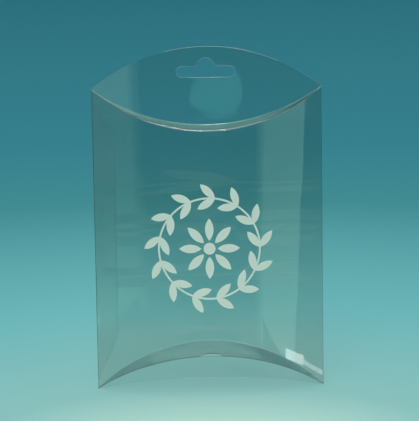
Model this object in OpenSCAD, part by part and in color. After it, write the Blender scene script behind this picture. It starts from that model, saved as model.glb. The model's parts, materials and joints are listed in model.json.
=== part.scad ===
// Clear film pillow box with a hang tab, built closed at the top, with its
// lower outer flap hanging a little open. The box leans back on that flap.
// The two arched panels, the hang tab, the glue tab and the inner lower flap
// are one folded sheet. The two flaps that swing are the same sheet, drawn
// apart from it at their folds.

/* [Box] */
// Width between the two side folds
box_w = 125; // [100:1:170]
// Height from the bottom corners to the top corners
box_h = 165; // [130:1:260]
// How far each panel bows out from the plane of the side folds
bow = 21.5; // [14:0.5:28]
// Thickness of the film
film = 0.3; // [0.2:0.05:0.5]
// Radius of the rounded bead along each side fold
fold_r = 0.4; // [0.3:0.05:0.8]
// Angle that the box leans back on its lowered flap
lean = 5; // [2:0.5:6]

/* [Hang tab] */
// Rise of the arched edge above the top corners
tab_rise = 22; // [20:0.5:40]
// Length of the hang slot
slot_w = 33; // [24:0.5:45]
// Height of the slot's two arms
slot_h = 6.2; // [4:0.1:8]
// Height of the slot's lower edge above the top corners
slot_up = 4.8; // [2:0.1:7]
// Radius of the round opening in the middle of the slot
hook_r = 5; // [4:0.1:7]
// Height of that opening's centre above the slot's lower edge
hook_up = 5.8; // [3:0.1:7]

/* [Glue tab] */
// Width of the glue tab, seen from the front
glue_w = 12; // [8:0.5:20]
// Distance from the tab's ends to the bottom and top corners, at its fold
glue_end = 4; // [2:0.5:12]
// Length of the slanted cut at each end of the tab
glue_slant = 12; // [4:0.5:20]

/* [Flaps] */
// Clearance along the free edges and the swinging folds
gap = 0.3; // [0.2:0.05:0.6]
// Radius of the thumb notch in the inner flap
notch_r = 6; // [4:0.5:12]

/* [Print] */
// Diameter of the printed wreath, over the tips of its leaves
print_d = 70; // [56:1:80]
// Height of the wreath's centre above the bottom corners
print_up = 80; // [70:1:90]
// Thickness of the ink
ink = 0.1; // [0.05:0.01:0.2]
// Width of the ring that the leaves stand on
stem_w = 1; // [0.6:0.1:2]
// Pairs of leaves round the wreath
leaf_pairs = 13; // [8:1:16]
// Length of a leaf
leaf_l = 11; // [8:0.5:13]
// Angle between a leaf and the ring
leaf_turn = 38; // [20:1:50]
// Width of a leaf or petal as a share of its length
leaf_share = 0.38; // [0.25:0.01:0.5]
// Petals of the flower
petals = 8; // [5:1:10]
// Length of a petal
petal_l = 12; // [8:0.5:14]
// Radius of the flower's eye
eye_r = 3.2; // [2:0.1:4]
// Distance from the eye to the petals
eye_gap = 1.1; // [0.5:0.1:1.5]

/* [Hidden] */
// Roundness of the panels and cuts, of the print's arcs and of the fold beads
$fn = 240;
leaf_fn = 96;
bead_fn = 24;
half_w = box_w / 2;
// Radius of the arc that spans the width with the given rise
function arc_r(rise) = (half_w * half_w + rise * rise) / (2 * rise);
bow_r = arc_r(bow);
tab_r = arc_r(tab_rise);
tab_top = box_h + tab_rise;
// Angle of the lowered flap that brings its whole free edge to the table
droop = asin((cos(lean) + sin(lean)) / 2) - lean;
droop_rise = bow * (cos(droop) - sin(droop));
droop_r = arc_r(droop_rise);
// Half of the leaning box's depth, which brings the middle over the origin
stance_y = (tab_top + bow) * sin(lean) / 2;
// Radius of the wreath's ring, which puts the leaves' tips on its diameter
ring_r = sqrt(pow(print_d / 2, 2) - pow(leaf_l * cos(leaf_turn), 2)) - leaf_l * sin(leaf_turn);
// How far cutting shapes reach past what they cut
past = 10;
reach = tab_top + box_w;
clear_film = [0.78, 0.93, 0.95, 0.35];
clear_flap = [0.70, 0.88, 0.95, 0.45];
white_ink = [0.96, 0.98, 0.97];

// Upright solid whose front is the front panel's outer face, grown by a step
module front_bow(step)
    translate([0, bow_r - bow, -past])
        cylinder(r = bow_r + step, h = reach);

// The same for the back panel
module back_bow(step)
    mirror([0, 1, 0]) front_bow(step);

// Lens-shaped prism between the two panels' outer faces
module lens(front_step, back_step)
    intersection() {
        front_bow(front_step);
        back_bow(back_step);
    }

// Round bar along Y from y0 to y1, with its crown at the given height
module bar(r, crown, y0, y1)
    translate([0, y0, crown - r])
        rotate([-90, 0, 0])
            cylinder(r = r, h = y1 - y0);

// Space under the bottom end's arch, grown by a step
module bottom_arch(step, y1)
    bar(bow_r + step, bow + step, -bow - past, y1);

// Space over the top end's hollow, grown by a step
module top_hollow(step, y1)
    translate([0, 0, box_h])
        mirror([0, 0, 1])
            bar(bow_r + step, bow + step, -bow - past, y1);

module hang_slot()
    translate([0, 0, box_h + slot_up])
        rotate([90, 0, 0])
            linear_extrude(2 * (bow + past), center = true) {
                for (side = [-1, 1])
                    translate([side * (slot_w - slot_h) / 2, slot_h / 2])
                        circle(d = slot_h);
                translate([-(slot_w - slot_h) / 2, 0])
                    square([slot_w - slot_h, slot_h]);
                translate([0, hook_up])
                    circle(r = hook_r);
            }

// Everything under the arched top edge of the hang tab
module tab_outline() {
    bar(tab_r, tab_top, -bow - past, bow + past);
    translate([-half_w - past, -bow - past, -past])
        cube([box_w + 2 * past, 2 * (bow + past), box_h + past]);
}

// Front and back panels, with the back one carried up into the hang tab
module panels()
    difference() {
        intersection() {
            lens(0, 0);
            tab_outline();
        }
        lens(-film, -film);
        bottom_arch(0, bow + past);
        bottom_arch(gap, 0);
        top_hollow(film + gap, 0);
        hang_slot();
    }

// Strip of the back panel turned in behind the front panel and glued there
module glue_tab()
    intersection() {
        difference() {
            lens(-film, -film);
            front_bow(-2 * film);
        }
        translate([-half_w, 0, 0])
            rotate([90, 0, 0])
                linear_extrude(bow)
                    polygon([
                        [0, glue_end + film],
                        [glue_w, bow + glue_end + glue_slant / 2],
                        [glue_w, box_h - bow - glue_end - glue_slant / 2],
                        [0, box_h - glue_end - film]
                    ]);
    }

// Rounded beads where the sheet is folded at the sides
module side_folds()
    for (side = [-1, 1])
        translate([side * half_w, 0, film + gap])
            cylinder(r = fold_r, h = box_h - 2 * (film + gap), $fn = bead_fn);

// Flap folded in from the back panel's lower edge, with its thumb notch
module inner_flap()
    difference() {
        intersection() {
            bottom_arch(film, bow + past);
            lens(-film - gap, 0);
        }
        bottom_arch(0, bow + past);
        translate([0, -bow + film + gap, 0])
            cylinder(r = notch_r, h = bow + past);
    }

// Surface of the lowered flap: a bar in line with the flap's slope
module droop_bar(step)
    rotate([-droop, 0, 0])
        bar(droop_r + step, droop_rise + step, -2 * bow, 3 * bow);

// Everything under the table, seen from the leaning box
module table_cut()
    rotate([lean, 0, 0])
        translate([-box_w, -box_w, -2 * bow])
            cube([2 * box_w, 2 * box_w, 2 * bow]);

// Leaf or petal with two pointed ends, lying along X from the origin
module leaf(length) {
    width = leaf_share * length;
    r = (length * length + width * width) / (4 * width);
    intersection() {
        translate([length / 2, width / 2 - r])
            circle(r = r, $fn = leaf_fn);
        translate([length / 2, r - width / 2])
            circle(r = r, $fn = leaf_fn);
    }
}

// Leaves in pairs along a ring
module wreath() {
    difference() {
        circle(r = ring_r + stem_w / 2);
        circle(r = ring_r - stem_w / 2);
    }
    for (i = [0 : leaf_pairs - 1])
        rotate(360 * i / leaf_pairs)
            translate([ring_r, 0])
                for (side = [-1, 1])
                    rotate(90 + side * leaf_turn)
                        leaf(leaf_l);
}

module flower() {
    for (i = [0 : petals - 1])
        rotate(360 * i / petals)
            translate([eye_r + eye_gap, 0])
                leaf(petal_l);
    circle(r = eye_r);
}

// Leans the box back and brings its middle over the origin
module stance()
    translate([0, -stance_y, 0])
        rotate([-lean, 0, 0])
            children();

module box_body()
    color(clear_film)
        stance() {
            panels();
            glue_tab();
            side_folds();
            inner_flap();
        }

module top_flap()
    color(clear_flap)
        stance()
            difference() {
                intersection() {
                    top_hollow(film, bow + past);
                    lens(0, -film - gap);
                }
                top_hollow(0, bow + past);
            }

module bottom_flap()
    color(clear_flap)
        stance()
            difference() {
                intersection() {
                    droop_bar(0);
                    front_bow(0);
                }
                droop_bar(-film);
                table_cut();
            }

module front_print()
    color(white_ink)
        stance()
            intersection() {
                difference() {
                    front_bow(ink);
                    front_bow(0);
                }
                translate([0, 0, print_up])
                    rotate([90, 0, 0])
                        linear_extrude(bow + past) {
                            wreath();
                            flower();
                        }
            }

box_body();
top_flap();
bottom_flap();
front_print();
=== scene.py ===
"""Looks of a clear film pillow box with a hang tab, built round its packed construction."""

import json
import math

import bpy
from mathutils import Matrix, Vector


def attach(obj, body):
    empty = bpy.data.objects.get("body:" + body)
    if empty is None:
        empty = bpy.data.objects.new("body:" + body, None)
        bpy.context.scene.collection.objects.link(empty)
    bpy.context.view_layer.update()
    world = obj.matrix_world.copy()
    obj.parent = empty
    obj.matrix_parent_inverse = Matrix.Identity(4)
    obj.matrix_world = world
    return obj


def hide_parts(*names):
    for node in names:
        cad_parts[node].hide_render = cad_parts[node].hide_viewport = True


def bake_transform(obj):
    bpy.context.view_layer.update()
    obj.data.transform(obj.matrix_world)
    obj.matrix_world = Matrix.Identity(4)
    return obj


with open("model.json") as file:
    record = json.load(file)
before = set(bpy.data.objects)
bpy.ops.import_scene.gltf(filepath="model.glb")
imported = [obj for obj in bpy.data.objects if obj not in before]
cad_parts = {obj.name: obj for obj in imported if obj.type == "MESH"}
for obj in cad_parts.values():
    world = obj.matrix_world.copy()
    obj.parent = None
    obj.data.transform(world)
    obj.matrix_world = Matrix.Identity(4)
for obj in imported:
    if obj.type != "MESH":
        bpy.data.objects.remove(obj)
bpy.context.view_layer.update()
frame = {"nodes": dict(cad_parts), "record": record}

bl_info = {
    "name": "Clear Pillow Box",
    "version": (1, 0, 0),
    "blender": (4, 5, 0),
    "location": "3D View > Sidebar > Pillow Box",
    "description": "Builds a clear film pillow box with a hang tab, its print and a studio",
    "category": "Object",
}

MM = 0.001
MOUNTS = {mount["name"]: mount for mount in frame["record"]["mounts"]}
SLOT_AXIS = MOUNTS["hang_slot"]["axis"]
# The slot faces straight back on an upright box, so its axis gives the lean
LEAN = math.atan2(-SLOT_AXIS[2], SLOT_AXIS[1])
SLOT_LENGTH = MOUNTS["hang_slot"]["dims"]["slot_length_mm"] * MM
# Steps along a fold line, steps round a fold, and rows up a sheet
STEPS_ACROSS = 128
ROLL_STEPS = 5
ROWS_UP = 24
# Faces round the bars that cut the film
BAR_STEPS = 64
# Points nearer than this are merged
WELD = 0.001 * MM
# The film's materials are its faces, its cut edges and its folds, in this order
EDGE_SLOT = 1
FOLD_SLOT = 2
PET_IOR = 1.575
# The table's colour runs out from a point this far in front of the box, the centre of a painted
# pool of light
TABLE_FRONT = 0.15
# The wall of card all round, which the film mirrors
WALL_RADIUS = 4
WALL_HEIGHT = 1.1
WALL_STEPS = 128
# Point of the box that the lamps aim at
LAMP_AIM = (0, 0, 0.1)
# Lit cards beside the box: near and far end, both in front of its middle, and share of the glow
SIDE_CARDS = ((0.048, 0.152, 1), (0.152, 0.166, 0.65), (0.166, 0.186, 0.3))
SIDE_CARD_TILT = math.radians(-14)
# Cards in front of the box, each larger than the last, so that their patch fades out
FRONT_CARDS = 7
# Low cards at the right: place along Y, place along Z, width, height, glow and tilt in degrees
GLINT_CARDS = ((-0.045, 0.0115, 0.024, 0.006, 3, -8), (-0.024, 0.0055, 0.024, 0.003, 1.8, -20))


class PillowBoxSizes(bpy.types.PropertyGroup):
    """Sizes of the box, upright and in metres"""

    width: bpy.props.FloatProperty(
        name="Width", description="Between the two side folds",
        default=125 * MM, subtype="DISTANCE", unit="LENGTH")
    height: bpy.props.FloatProperty(
        name="Height", description="From the bottom corners to the top corners",
        default=165 * MM, subtype="DISTANCE", unit="LENGTH")
    bow: bpy.props.FloatProperty(
        name="Bow", description="How far each panel bows out",
        default=21.5 * MM, subtype="DISTANCE", unit="LENGTH")
    film: bpy.props.FloatProperty(
        name="Film", description="Thickness of the film",
        default=0.26 * MM, subtype="DISTANCE", unit="LENGTH", precision=5)
    skin: bpy.props.FloatProperty(
        name="Skin", description="Step from the construction's outer face in to the film's",
        default=0.02 * MM, subtype="DISTANCE", unit="LENGTH", precision=5)
    lean: bpy.props.FloatProperty(
        name="Lean", description="Angle that the box leans back",
        default=LEAN, subtype="ANGLE", unit="ROTATION")
    tab_rise: bpy.props.FloatProperty(
        name="Tab rise", description="Rise of the hang tab's edge above the top corners",
        default=22 * MM, subtype="DISTANCE", unit="LENGTH")
    slot_height: bpy.props.FloatProperty(
        name="Slot height", description="Height of the slot's two arms",
        default=6.2 * MM, subtype="DISTANCE", unit="LENGTH")
    slot_up: bpy.props.FloatProperty(
        name="Slot up", description="Height of the slot's lower edge above the top corners",
        default=4.8 * MM, subtype="DISTANCE", unit="LENGTH")
    hook_radius: bpy.props.FloatProperty(
        name="Hook radius", description="Radius of the round opening in the middle of the slot",
        default=5 * MM, subtype="DISTANCE", unit="LENGTH")
    hook_up: bpy.props.FloatProperty(
        name="Hook up", description="Height of that opening's centre above the slot's lower edge",
        default=5.8 * MM, subtype="DISTANCE", unit="LENGTH")
    glue_width: bpy.props.FloatProperty(
        name="Glue tab", description="Width of the glue tab, seen from the front",
        default=12 * MM, subtype="DISTANCE", unit="LENGTH")
    glue_end: bpy.props.FloatProperty(
        name="Glue tab end", description="Distance from the tab's ends to the corners, at its fold",
        default=4.3 * MM, subtype="DISTANCE", unit="LENGTH")
    glue_slant: bpy.props.FloatProperty(
        name="Glue tab slant", description="Extra length cut off at the tab's free side",
        default=27.2 * MM, subtype="DISTANCE", unit="LENGTH")
    gap: bpy.props.FloatProperty(
        name="Gap", description="Clearance along a flap's free edge",
        default=0.6 * MM, subtype="DISTANCE", unit="LENGTH", precision=5)
    notch_radius: bpy.props.FloatProperty(
        name="Notch radius", description="Radius of the thumb notch",
        default=6 * MM, subtype="DISTANCE", unit="LENGTH")
    roll: bpy.props.FloatProperty(
        name="Roll", description="How far the rounding of a curved crease reaches from it",
        default=0.9 * MM, subtype="DISTANCE", unit="LENGTH", precision=5)
    burr: bpy.props.FloatProperty(
        name="Burr", description="Radius of the torn rim along a cut edge",
        default=0.1 * MM, subtype="DISTANCE", unit="LENGTH", precision=5)
    burr_left: bpy.props.FloatProperty(
        name="Burr's left end", description="Where the hang tab's burr starts, from the middle",
        default=-24 * MM, subtype="DISTANCE", unit="LENGTH")
    burr_right: bpy.props.FloatProperty(
        name="Burr's right end", description="Where the hang tab's burr ends, from the middle",
        default=40 * MM, subtype="DISTANCE", unit="LENGTH")
    slot_burr: bpy.props.FloatProperty(
        name="Slot burr", description="Radius of the torn rim round the hang slot",
        default=0.07 * MM, subtype="DISTANCE", unit="LENGTH", precision=5)
    flap_burr: bpy.props.FloatProperty(
        name="Flap burr", description="Radius of the worn rim along the top flap's free edge",
        default=0.22 * MM, subtype="DISTANCE", unit="LENGTH", precision=5)
    side_fold: bpy.props.FloatProperty(
        name="Side fold", description="Width of the rounding along each side fold",
        default=0.5 * MM, subtype="DISTANCE", unit="LENGTH", precision=5)


class PillowBoxColours(bpy.types.PropertyGroup):
    """Colours as sRGB hex values"""

    film: bpy.props.StringProperty(name="Film", description="Clear film", default="#EEEEEB")
    edge: bpy.props.StringProperty(
        name="Edge", description="Cut edges, folds and glued film", default="#EEF7F6")
    ink: bpy.props.StringProperty(name="Ink", description="White ink", default="#F0F4E9")
    ink_thin: bpy.props.StringProperty(
        name="Ink, thin", description="White ink where it is thinner", default="#E8EEE0")
    lamp: bpy.props.StringProperty(
        name="Lamp", description="Lamps and the cards of the glints", default="#FFFFFF")
    card_pale: bpy.props.StringProperty(
        name="Card, pale", description="Lit cards beside and behind the box", default="#C4FFE6")
    card_teal: bpy.props.StringProperty(
        name="Card, teal", description="Lit cards in front of the box", default="#86FFF0")
    sky: bpy.props.StringProperty(
        name="Sky", description="Even light from all round", default="#F2F6F6")
    # The table's colours, from the painted pool of light in front of the box out to the teal card
    # far off
    table_near: bpy.props.StringProperty(
        name="Table, near", description="Table in front of the box", default="#ACD2C6")
    table_box: bpy.props.StringProperty(
        name="Table, box", description="Table under the box", default="#86BBB7")
    table_middle: bpy.props.StringProperty(
        name="Table, middle", description="Table just behind the box", default="#67B1B4")
    table_deep: bpy.props.StringProperty(
        name="Table, deep", description="Table well behind the box", default="#3A8990")
    table_far: bpy.props.StringProperty(
        name="Table, far", description="Table far off", default="#2E8190")
    wall: bpy.props.StringProperty(
        name="Wall", description="Wall all round, which the film mirrors", default="#509FA6")


class PillowBoxStudio(bpy.types.PropertyGroup):
    """Camera and lamps"""

    aim: bpy.props.FloatVectorProperty(
        name="Aim", description="Point in the middle of the picture",
        default=(0.65 * MM, 0, 97.52 * MM), subtype="TRANSLATION", unit="LENGTH")
    distance: bpy.props.FloatProperty(
        name="Distance", description="From the camera to that point",
        default=913.8 * MM, subtype="DISTANCE", unit="LENGTH")
    azimuth: bpy.props.FloatProperty(
        name="Azimuth", description="Turn of the camera round the box",
        default=math.radians(-0.938), subtype="ANGLE", unit="ROTATION")
    elevation: bpy.props.FloatProperty(
        name="Elevation", description="Angle that the camera looks down at",
        default=math.radians(11.853), subtype="ANGLE", unit="ROTATION")
    roll: bpy.props.FloatProperty(
        name="Roll", description="Turn of the camera about its own view",
        default=math.radians(-0.836), subtype="ANGLE", unit="ROTATION")
    lens: bpy.props.FloatProperty(
        name="Lens", description="Focal length in millimetres",
        default=142.95)
    ambient: bpy.props.FloatProperty(
        name="Ambient", description="Strength of the light from all round",
        default=0.85)


def sizes():
    return bpy.context.scene.pillow_box_sizes


def colours():
    return bpy.context.scene.pillow_box_colours


def studio():
    return bpy.context.scene.pillow_box_studio


def linear(hex_colour):
    """An sRGB hex colour as the linear RGBA that a socket takes"""
    levels = [int(hex_colour[i:i + 2], 16) / 255 for i in (1, 3, 5)]
    return [v / 12.92 if v <= 0.04045 else ((v + 0.055) / 1.055) ** 2.4 for v in levels] + [1]


def pick(*objects):
    """Selects these objects alone, the first one active"""
    bpy.ops.object.select_all(action="DESELECT")
    for one in objects:
        one.select_set(True)
    bpy.context.view_layer.objects.active = objects[0]


def edit_all(piece):
    pick(piece)
    bpy.ops.object.mode_set(mode="EDIT")
    bpy.ops.mesh.select_all(action="SELECT")


def finish_edit():
    bpy.ops.object.mode_set(mode="OBJECT")


def apply_modifier(piece, kind, **settings):
    pick(piece)
    modifier = piece.modifiers.new(kind.title(), kind)
    for key, value in settings.items():
        setattr(modifier, key, value)
    bpy.ops.object.modifier_apply(modifier=modifier.name)


def apply_place(piece):
    pick(piece)
    bpy.ops.object.transform_apply(location=True, rotation=True, scale=True)


def add_seed(name, place):
    """One vertex: a small plane merged at its centre and moved to its place"""
    bpy.ops.object.select_all(action="DESELECT")
    bpy.ops.mesh.primitive_plane_add(size=MM)
    seed = bpy.context.object
    seed.name = name
    edit_all(seed)
    bpy.ops.mesh.merge(type="CENTER")
    bpy.ops.transform.translate(value=place)
    return seed


def add_fold_line(out, up, height):
    """The curve of a fold or free edge, from corner to corner.

    All of them are the panels' own arc, tilted: it stands out (to the back) and up by these shares
    of the bow, stretched so that it still reads as that arc from above."""
    box = sizes()
    half = box.width / 2
    bow = box.bow - box.skin
    radius = (half * half + bow * bow) / (2 * bow)
    line = add_seed("fold_line", (-half, 0, 0))
    bpy.ops.mesh.spin(
        steps=STEPS_ACROSS, angle=2 * math.asin(half / radius),
        center=(0, bow - radius, 0), axis=(0, 0, 1))
    finish_edit()
    line.scale = (1, math.hypot(out, up), 1)
    line.rotation_euler = (math.atan2(up, out), 0, 0)
    line.location = (0, 0, height)
    apply_place(line)
    return line


def join(name, parts):
    """Joins the parts and merges the edges that they share"""
    pick(*parts)
    bpy.ops.object.join()
    joined = bpy.context.object
    joined.name = name
    edit_all(joined)
    bpy.ops.mesh.remove_doubles(threshold=WELD)
    finish_edit()
    return joined


def add_sheet(name, lines, outside):
    """Sheet with straight rulings over fold lines, each (out, up, height).

    Its faces look to the outside, and its last strip is cut into rows."""
    strips = []
    for first, second in zip(lines, lines[1:]):
        pick(add_fold_line(*first), add_fold_line(*second))
        bpy.ops.object.join()
        strip = bpy.context.object
        edit_all(strip)
        cuts = ROWS_UP if second is lines[-1] else 0
        bpy.ops.mesh.bridge_edge_loops(number_cuts=cuts, interpolation="LINEAR")
        finish_edit()
        for face in strip.data.polygons:
            face.material_index = 0 if cuts else FOLD_SLOT
        strips.append(strip)
    sheet = join(name, strips)
    edit_all(sheet)
    bpy.ops.mesh.normals_make_consistent(inside=False)
    finish_edit()
    towards = sum(face.normal.dot(Vector(outside)) * face.area for face in sheet.data.polygons)
    if towards < 0:
        edit_all(sheet)
        bpy.ops.mesh.flip_normals()
        finish_edit()
    return sheet


def roll_lines(corner, before, after, height):
    """Fold lines that round the fold at a corner between the film before and after it"""
    box = sizes()
    corner, before, after = Vector(corner), Vector(before), Vector(after)
    reach = box.roll / box.bow
    start = corner + (before - corner).normalized() * reach
    end = corner + (after - corner).normalized() * reach
    steps = [step / ROLL_STEPS for step in range(ROLL_STEPS + 1)]
    points = [start.lerp(corner, t).lerp(corner.lerp(end, t), t) for t in steps]
    return [(point.x, point.y, height) for point in points]


def thicken(sheet, thickness, face):
    """Gives the film its wall, inwards from the sheet, with cut edges of their own finish"""
    for material in (face, make_cut_edge(), make_fold()):
        sheet.data.materials.append(material)
    apply_modifier(
        sheet, "SOLIDIFY", thickness=thickness, offset=-1, use_rim=True,
        material_offset_rim=EDGE_SLOT)


def smooth(piece, degrees=25):
    pick(piece)
    bpy.ops.object.shade_smooth_by_angle(angle=math.radians(degrees))


def stand(piece):
    """Leans the piece back with the box and brings the box's middle over the origin"""
    box = sizes()
    piece.rotation_euler = (-box.lean, 0, 0)
    piece.location = (0, -(box.height + box.tab_rise + box.bow) * math.sin(box.lean) / 2, 0)
    apply_place(piece)


def cut(piece, cutter):
    """Cuts the closed cutter's shape out of the piece and removes the cutter"""
    apply_modifier(piece, "BOOLEAN", operation="DIFFERENCE", object=cutter, solver="EXACT")
    bpy.data.objects.remove(cutter)


def droop():
    """Angle of the lowered flap that brings its whole free edge to the table"""
    lean = sizes().lean
    return math.asin((math.cos(lean) + math.sin(lean)) / 2) - lean


def add_node(tree, kind, inputs=None, **settings):
    """Adds a node with its settings; an input is a value or the socket that feeds it"""
    made = tree.nodes.new(kind)
    for key, value in settings.items():
        setattr(made, key, value)
    for key, value in (inputs or {}).items():
        if isinstance(value, bpy.types.NodeSocket):
            tree.links.new(value, made.inputs[key])
        else:
            made.inputs[key].default_value = value
    return made


def start_material(name):
    """The material of this name, and its empty node tree, or None if it was made before"""
    material = bpy.data.materials.get(name)
    if material:
        return material, None
    material = bpy.data.materials.new(name)
    material.use_nodes = True
    material.node_tree.nodes.clear()
    return material, material.node_tree


def object_noise(tree, wave_mm, detail, coordinates):
    """Noise whose lumps are about wave_mm across"""
    return add_node(
        tree, "ShaderNodeTexNoise",
        {"Vector": coordinates, "Scale": 1 / (wave_mm * MM), "Detail": detail, "Roughness": 0.5})


def make_film(name, colour, clearness):
    """Calendered PET sheet: glass clear and glossy, with the slow waves of a thin sheet
    that has been creased and folded, which break up what it reflects"""
    material, tree = start_material(name)
    if tree is None:
        return material
    place = add_node(tree, "ShaderNodeTexCoord").outputs["Object"]
    waves = object_noise(tree, 45, 1, place)
    ripple = object_noise(tree, 9, 1, place)
    slow = add_node(
        tree, "ShaderNodeBump",
        {"Height": waves.outputs["Fac"], "Strength": 1.0, "Distance": 0.5 * MM})
    fine = add_node(
        tree, "ShaderNodeBump",
        {"Height": ripple.outputs["Fac"], "Strength": 1.0, "Distance": 0.02 * MM,
         "Normal": slow.outputs["Normal"]})
    shader = add_node(
        tree, "ShaderNodeBsdfPrincipled",
        {"Base Color": linear(colour), "Roughness": 0.035, "IOR": PET_IOR,
         "Transmission Weight": clearness, "Normal": fine.outputs["Normal"]})
    add_node(tree, "ShaderNodeOutputMaterial", {"Surface": shader.outputs["BSDF"]})
    return material


def make_bare_film():
    return make_film("clear_pet_sheet_calendered", colours().film, 1.0)


def make_glued_film():
    """The same sheet with a film of clear glue on it, which hazes it a little"""
    return make_film("clear_pet_sheet_glued", colours().edge, 0.97)


def make_cut_edge():
    """Die-cut edge of PET sheet: the blade leaves it finely torn, so it breaks up light"""
    material, tree = start_material("clear_pet_die_cut_edge")
    if tree is None:
        return material
    place = add_node(tree, "ShaderNodeTexCoord").outputs["Object"]
    tear = object_noise(tree, 0.4, 2, place)
    bump = add_node(
        tree, "ShaderNodeBump",
        {"Height": tear.outputs["Fac"], "Strength": 0.5, "Distance": 0.05 * MM})
    shader = add_node(
        tree, "ShaderNodeBsdfPrincipled",
        {"Base Color": linear(colours().edge), "Roughness": 0.2, "IOR": PET_IOR,
         "Transmission Weight": 0.94, "Normal": bump.outputs["Normal"]})
    add_node(tree, "ShaderNodeOutputMaterial", {"Surface": shader.outputs["BSDF"]})
    return material


def make_fold():
    """Scored and folded PET: the bend is a little hazed, so it spreads the light it catches"""
    material, tree = start_material("clear_pet_scored_fold")
    if tree is None:
        return material
    place = add_node(tree, "ShaderNodeTexCoord").outputs["Object"]
    patches = object_noise(tree, 5, 3, place)
    haze = add_node(
        tree, "ShaderNodeMapRange",
        {"Value": patches.outputs["Fac"], "From Min": 0.35, "From Max": 0.65,
         "To Min": 0.16, "To Max": 0.36})
    shader = add_node(
        tree, "ShaderNodeBsdfPrincipled",
        {"Base Color": linear(colours().edge), "Roughness": haze.outputs["Result"], "IOR": PET_IOR,
         "Transmission Weight": 0.6})
    add_node(tree, "ShaderNodeOutputMaterial", {"Surface": shader.outputs["BSDF"]})
    return material


def make_ink():
    """Screen-printed white ink: matt and opaque, a little thin where the mesh left its grain"""
    material, tree = start_material("white_screen_print_ink")
    if tree is None:
        return material
    place = add_node(tree, "ShaderNodeTexCoord").outputs["Object"]
    cloud = object_noise(tree, 5, 3, place)
    grain = object_noise(tree, 0.35, 1, place)
    tone = add_node(
        tree, "ShaderNodeMixRGB",
        {"Fac": cloud.outputs["Fac"], "Color1": linear(colours().ink_thin),
         "Color2": linear(colours().ink)})
    bump = add_node(
        tree, "ShaderNodeBump",
        {"Height": grain.outputs["Fac"], "Strength": 0.4, "Distance": 0.03 * MM})
    shader = add_node(
        tree, "ShaderNodeBsdfPrincipled",
        {"Base Color": tone.outputs["Color"], "Roughness": 0.55, "Normal": bump.outputs["Normal"]})
    add_node(tree, "ShaderNodeOutputMaterial", {"Surface": shader.outputs["BSDF"]})
    return material


def make_table():
    """Matt sheet of pale aqua card that deepens to teal far from the box; its palest colour is a
    painted pool of light centred just in front of the box
    """
    material, tree = start_material("matt_aqua_card_painted_light_pool")
    if tree is None:
        return material
    place = add_node(tree, "ShaderNodeTexCoord").outputs["Object"]
    # Painted pool of light: the colour is palest near the point in front of the box and deepens
    # with distance from it
    away = add_node(
        tree, "ShaderNodeVectorMath", {0: place, 1: (0, -TABLE_FRONT, 0)}, operation="DISTANCE")
    share = add_node(
        tree, "ShaderNodeMapRange",
        {"Value": away.outputs["Value"], "From Min": 0.08, "From Max": 1.33})
    ramp = add_node(tree, "ShaderNodeValToRGB", {"Fac": share.outputs["Result"]})
    stops = ramp.color_ramp.elements
    stops[0].color = linear(colours().table_near)
    stops[1].color = linear(colours().table_far)
    stops[1].position = 0.7
    for share_out, colour in (
            (0.05, colours().table_box),
            (0.19, colours().table_middle),
            (0.46, colours().table_deep)):
        stops.new(share_out).color = linear(colour)
    shader = add_node(
        tree, "ShaderNodeBsdfPrincipled",
        {"Base Color": ramp.outputs["Color"], "Roughness": 0.9, "Specular IOR Level": 0.1})
    add_node(tree, "ShaderNodeOutputMaterial", {"Surface": shader.outputs["BSDF"]})
    return material


def make_wall():
    """Matt teal card, all round the table"""
    material, tree = start_material("matt_teal_card")
    if tree is None:
        return material
    shader = add_node(
        tree, "ShaderNodeBsdfPrincipled",
        {"Base Color": linear(colours().wall), "Roughness": 0.9, "Specular IOR Level": 0.1})
    add_node(tree, "ShaderNodeOutputMaterial", {"Surface": shader.outputs["BSDF"]})
    return material


def add_hang_slot_cutter():
    """Bar with round ends along X, joined with a round bar over its middle, through the film"""
    box = sizes()
    depth = 2 * box.bow
    lower = box.height + box.slot_up
    bpy.ops.object.select_all(action="DESELECT")
    bpy.ops.mesh.primitive_cube_add(size=1, location=(0, box.bow, lower + box.slot_height / 2))
    arms = bpy.context.object
    arms.scale = (SLOT_LENGTH, depth, box.slot_height)
    apply_place(arms)
    apply_modifier(arms, "BEVEL", width=0.499 * box.slot_height, segments=10, limit_method="NONE")
    bpy.ops.object.select_all(action="DESELECT")
    bpy.ops.mesh.primitive_cylinder_add(
        vertices=BAR_STEPS, radius=box.hook_radius, depth=depth,
        location=(0, box.bow, lower + box.hook_up), rotation=(math.pi / 2, 0, 0))
    hook = bpy.context.object
    apply_place(hook)
    apply_modifier(arms, "BOOLEAN", operation="UNION", object=hook, solver="EXACT")
    bpy.data.objects.remove(hook)
    return arms


def add_slot_outline(cutter, panels):
    """The cutter's outline, laid on the panel that it cuts"""
    pick(cutter)
    bpy.ops.object.duplicate()
    outline = bpy.context.object
    edit_all(outline)
    bpy.ops.mesh.bisect(
        plane_co=(0, sizes().bow, 0), plane_no=(0, 1, 0), clear_inner=True, clear_outer=True)
    finish_edit()
    apply_modifier(outline, "SHRINKWRAP", target=panels, wrap_method="NEAREST_SURFACEPOINT")
    return outline


def add_burr(name, line, radius):
    """The raised, torn rim that the cutting blade leaves along an edge of the film"""
    pick(line)
    bpy.ops.object.convert(target="CURVE")
    line.data.bevel_depth = radius
    line.data.bevel_resolution = 2
    line.data.use_fill_caps = True
    bpy.ops.object.convert(target="MESH")
    line.name = name
    line.data.materials.clear()
    line.data.materials.append(make_cut_edge())
    smooth(line, 60)
    stand(line)
    return line


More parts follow.
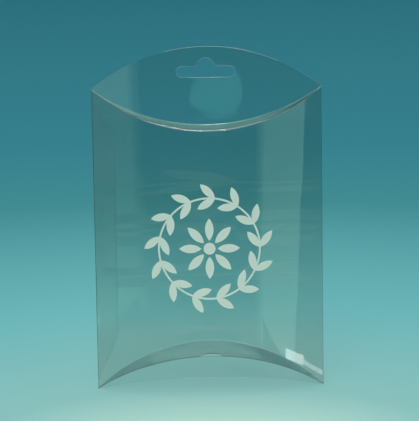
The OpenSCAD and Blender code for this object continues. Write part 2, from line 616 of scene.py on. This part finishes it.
def add_notch_cutter():
    """Upright round bar at the inner flap's free edge, which ends under the front panel"""
    box = sizes()
    bpy.ops.object.select_all(action="DESELECT")
    bpy.ops.mesh.primitive_cylinder_add(
        vertices=BAR_STEPS, radius=box.notch_radius, depth=box.bow,
        location=(0, -box.bow + box.gap, (box.bow + box.roll) / 2))
    notch = bpy.context.object
    apply_place(notch)
    return notch


def ride(piece, body):
    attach(piece, body)
    finish_film(piece)


def finish_film(piece):
    """Clear film lets the even light through to the table; only the lamps cast its shadow"""
    piece.visible_diffuse = False


class PILLOWBOX_OT_panels(bpy.types.Operator):
    """Builds the folded sheet: both panels, the hang tab with its slot and the inner flap"""

    bl_idname = "pillow_box.panels"
    bl_label = "Panels, hang tab and inner flap"

    def execute(self, context):
        box = sizes()
        roll = box.roll / box.bow
        free = -1 + box.gap / box.bow
        front = add_sheet(
            "front", [(-1, 1 + roll, 0), (-1, -1 - roll, box.height)], (0, -1, 0))
        back = add_sheet(
            "back", [(1, 1 + roll, 0), (1, box.tab_rise / box.bow, box.height)], (0, 1, 0))
        flap = add_sheet(
            "flap", roll_lines((1, 1), (1, 2), (free, 1), 0) + [(free, 1, 0)], (0, 0, -1))
        panels = join("panels", (front, back))
        apply_modifier(
            panels, "BEVEL", width=box.side_fold, segments=3, limit_method="ANGLE",
            angle_limit=math.radians(50), material=FOLD_SLOT)
        panels = join("panels_and_hang_tab", (panels, flap))
        thicken(panels, box.film, make_bare_film())
        slot = add_hang_slot_cutter()
        ride(add_burr("slot_burr", add_slot_outline(slot, panels), box.slot_burr), "sheet")
        cut(panels, slot)
        cut(panels, add_notch_cutter())
        inside = 1 - box.film / 2 / box.bow
        edge = add_fold_line(inside, box.tab_rise / box.bow, box.height - box.burr)
        for side, end in ((-1, box.burr_left), (1, box.burr_right)):
            edit_all(edge)
            bpy.ops.mesh.bisect(plane_co=(end, 0, 0), plane_no=(side, 0, 0), clear_outer=True)
            finish_edit()
        ride(add_burr("hang_tab_burr", edge, box.burr), "sheet")
        smooth(panels)
        stand(panels)
        ride(panels, "sheet")
        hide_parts("box_body")
        return {"FINISHED"}


class PILLOWBOX_OT_glue_tab(bpy.types.Operator):
    """Builds the strip that is glued behind the front panel's left side"""

    bl_idname = "pillow_box.glue_tab"
    bl_label = "Glue tab"

    def execute(self, context):
        box = sizes()
        tab = add_sheet("glue_tab", [(-1, 1, 0), (-1, -1, box.height)], (0, -1, 0))
        left = -box.width / 2
        slant = Vector((box.glue_slant, 0, -box.glue_width)).normalized()
        for point, outward in (
                ((left + box.glue_width, 0, 0), (1, 0, 0)),
                ((left, 0, box.glue_end), slant),
                ((left, 0, box.height - box.glue_end), (slant.x, 0, -slant.z))):
            edit_all(tab)
            bpy.ops.mesh.bisect(plane_co=point, plane_no=outward, clear_outer=True)
            finish_edit()
        apply_modifier(tab, "DISPLACE", strength=-(box.film + 2 * box.skin), mid_level=0)
        thicken(tab, box.film, make_glued_film())
        smooth(tab)
        stand(tab)
        ride(tab, "sheet")
        return {"FINISHED"}


class PILLOWBOX_OT_top_flap(bpy.types.Operator):
    """Builds the flap that closes the top, bending away from its curved crease"""

    bl_idname = "pillow_box.top_flap"
    bl_label = "Top flap"

    def execute(self, context):
        box = sizes()
        free = 1 - box.gap / box.bow
        flap = add_sheet(
            "top_tuck_flap",
            roll_lines((-1, -1), (-1, -2), (free, -1), box.height) + [(free, -1, box.height)],
            (0, 0, 1))
        thicken(flap, box.film, make_bare_film())
        smooth(flap)
        stand(flap)
        burr = add_burr("top_flap_burr", add_fold_line(free, -1, box.height), box.flap_burr)
        for piece in (flap, burr):
            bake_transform(piece)
            finish_film(piece)
        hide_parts("top_flap")
        return {"FINISHED"}


class PILLOWBOX_OT_bottom_flap(bpy.types.Operator):
    """Builds the outer lower flap, which hangs open to the table"""

    bl_idname = "pillow_box.bottom_flap"
    bl_label = "Bottom flap"

    def execute(self, context):
        box = sizes()
        free = (2 * math.cos(droop()) - 1, 1 - 2 * math.sin(droop()))
        flap = add_sheet(
            "bottom_outer_flap", roll_lines((-1, 1), (-1, 2), free, 0) + [(*free, 0)], (0, 0, -1))
        thicken(flap, box.film, make_bare_film())
        smooth(flap)
        stand(flap)
        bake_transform(flap)
        finish_film(flap)
        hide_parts("bottom_flap")
        return {"FINISHED"}


class PILLOWBOX_OT_print(bpy.types.Operator):
    """Gives the printed wreath its ink"""

    bl_idname = "pillow_box.print"
    bl_label = "Print"

    def execute(self, context):
        wreath = frame["nodes"]["front_print"]
        wreath.data.materials.clear()
        wreath.data.materials.append(make_ink())
        return {"FINISHED"}


class PILLOWBOX_OT_stage(bpy.types.Operator):
    """Sets the table, the lamps, the world and the camera"""

    bl_idname = "pillow_box.stage"
    bl_label = "Stage"

    def execute(self, context):
        self.add_table()
        self.add_lamps()
        self.set_world(context)
        self.add_camera(context)
        context.scene.view_settings.view_transform = "Standard"
        return {"FINISHED"}

    def add_table(self):
        bpy.ops.object.select_all(action="DESELECT")
        bpy.ops.mesh.primitive_plane_add(size=30, location=(0, 0, -0.02 * MM))
        table = bpy.context.object
        table.name = "table"
        apply_place(table)
        table.data.materials.append(make_table())
        bpy.ops.object.select_all(action="DESELECT")
        bpy.ops.mesh.primitive_cylinder_add(
            vertices=WALL_STEPS, radius=WALL_RADIUS, depth=WALL_HEIGHT, end_fill_type="NOTHING",
            location=(0, 0, WALL_HEIGHT / 2))
        wall = bpy.context.object
        wall.name = "wall"
        apply_place(wall)
        edit_all(wall)
        bpy.ops.mesh.flip_normals()
        finish_edit()
        smooth(wall)
        wall.data.materials.append(make_wall())

    def add_lamp(self, name, place, aim, width, height, glow, colour):
        """Soft box of this size, and of this glow for each of its square metres"""
        place, aim = Vector(place), Vector(aim)
        bpy.ops.object.light_add(type="AREA", location=place)
        lamp = bpy.context.object
        lamp.name = name
        lamp.data.shape = "RECTANGLE"
        lamp.data.size = width
        lamp.data.size_y = height
        lamp.data.color = linear(colour)[:3]
        lamp.data.energy = glow * math.pi * width * height
        lamp.rotation_euler = (aim - place).to_track_quat("-Z", "Y").to_euler()
        return lamp

    def add_card(self, name, place, aim, width, height, glow, colour, tilt=0):
        """Lit card that the film mirrors, too small to light the table"""
        card = self.add_lamp(name, place, aim, width, height, glow, colour)
        card.rotation_euler.rotate_axis("Z", tilt)
        card.visible_diffuse = False
        card.visible_camera = False
        return card

    def add_lamps(self):
        """Even light from above and in front, and the lit cards that the film mirrors"""
        white, pale, teal = colours().lamp, colours().card_pale, colours().card_teal
        self.add_lamp("soft_box_over", (0, 0.05, 1.4), LAMP_AIM, 1.2, 1.2, 1.4, white)
        self.add_lamp("key_lamp", (-0.29, -0.8, 0.95), LAMP_AIM, 0.5, 0.5, 1.7, white)
        self.add_card("glint_strip", (-0.045, -0.515, 1.07), LAMP_AIM, 0.35, 0.05, 290, white)
        for near, far, share in SIDE_CARDS:
            y = -(near + far) / 2
            self.add_card(
                "side_card", (0.131, y, 0.11), (0, y, 0.11), far - near, 0.21, 0.7 * share, pale,
                SIDE_CARD_TILT)
        for step in range(FRONT_CARDS):
            card = self.add_card(
                "front_card", (-0.07, -0.8, 0.187), (0, 0, 0.187), 0.14 + 0.05 * step,
                0.03 + 0.007 * step, 0.42, teal)
            card.data.shape = "ELLIPSE"
        self.add_card("back_card", (0, 1, 0.1165), (0, 0, 0.1165), 0.8, 0.067, 0.25, pale)
        for y, z, width, height, glow, tilt in GLINT_CARDS:
            self.add_card(
                "glint_card", (0.085, y, z), (0, y, z), width, height, glow, white,
                math.radians(tilt))

    def set_world(self, context):
        """Even white light, but the camera sees the far table's colour over the wall"""
        world = bpy.data.worlds.new("studio")
        world.use_nodes = True
        context.scene.world = world
        tree = world.node_tree
        tree.nodes.clear()
        rays = add_node(tree, "ShaderNodeLightPath").outputs
        light = add_node(
            tree, "ShaderNodeBackground",
            {"Color": linear(colours().sky), "Strength": studio().ambient})
        backdrop = add_node(
            tree, "ShaderNodeBackground", {"Color": linear(colours().table_far), "Strength": 1.0})
        both = add_node(
            tree, "ShaderNodeMixShader",
            {0: rays["Is Camera Ray"], 1: light.outputs[0], 2: backdrop.outputs[0]})
        add_node(tree, "ShaderNodeOutputWorld", {"Surface": both.outputs[0]})

    def add_camera(self, context):
        view = studio()
        back = Vector((
            math.sin(view.azimuth) * math.cos(view.elevation),
            -math.cos(view.azimuth) * math.cos(view.elevation),
            math.sin(view.elevation)))
        place = Vector(view.aim) + back * view.distance
        bpy.ops.object.camera_add(location=place)
        camera = bpy.context.object
        camera.name = "camera"
        camera.data.lens = view.lens
        camera.data.clip_end = 60
        rolled = Matrix.Rotation(view.roll, 3, "Z").to_quaternion()
        camera.rotation_euler = ((-back).to_track_quat("-Z", "Y") @ rolled).to_euler()
        context.scene.camera = camera


class PILLOWBOX_PT_main(bpy.types.Panel):
    """Lists the pieces in the 3D view's sidebar"""

    bl_idname = "PILLOWBOX_PT_main"
    bl_label = "Pillow Box"
    bl_space_type = "VIEW_3D"
    bl_region_type = "UI"
    bl_category = "Pillow Box"

    def draw(self, context):
        for group in (sizes(), colours(), studio()):
            column = self.layout.column(align=True)
            for name in group.__annotations__:
                column.prop(group, name)
        column = self.layout.column()
        for operator in OPERATORS:
            column.operator(operator.bl_idname)


OPERATORS = (
    PILLOWBOX_OT_panels,
    PILLOWBOX_OT_glue_tab,
    PILLOWBOX_OT_top_flap,
    PILLOWBOX_OT_bottom_flap,
    PILLOWBOX_OT_print,
    PILLOWBOX_OT_stage,
)
CLASSES = (PillowBoxSizes, PillowBoxColours, PillowBoxStudio, PILLOWBOX_PT_main) + OPERATORS


def register():
    for kind in CLASSES:
        bpy.utils.register_class(kind)
    scene = bpy.types.Scene
    scene.pillow_box_sizes = bpy.props.PointerProperty(type=PillowBoxSizes)
    scene.pillow_box_colours = bpy.props.PointerProperty(type=PillowBoxColours)
    scene.pillow_box_studio = bpy.props.PointerProperty(type=PillowBoxStudio)


def unregister():
    del bpy.types.Scene.pillow_box_sizes
    del bpy.types.Scene.pillow_box_colours
    del bpy.types.Scene.pillow_box_studio
    for kind in reversed(CLASSES):
        bpy.utils.unregister_class(kind)


def main():
    register()
    bpy.ops.pillow_box.panels()
    bpy.ops.pillow_box.glue_tab()
    bpy.ops.pillow_box.top_flap()
    bpy.ops.pillow_box.bottom_flap()
    bpy.ops.pillow_box.print()
    bpy.ops.pillow_box.stage()


if __name__ == "__main__":
    main()
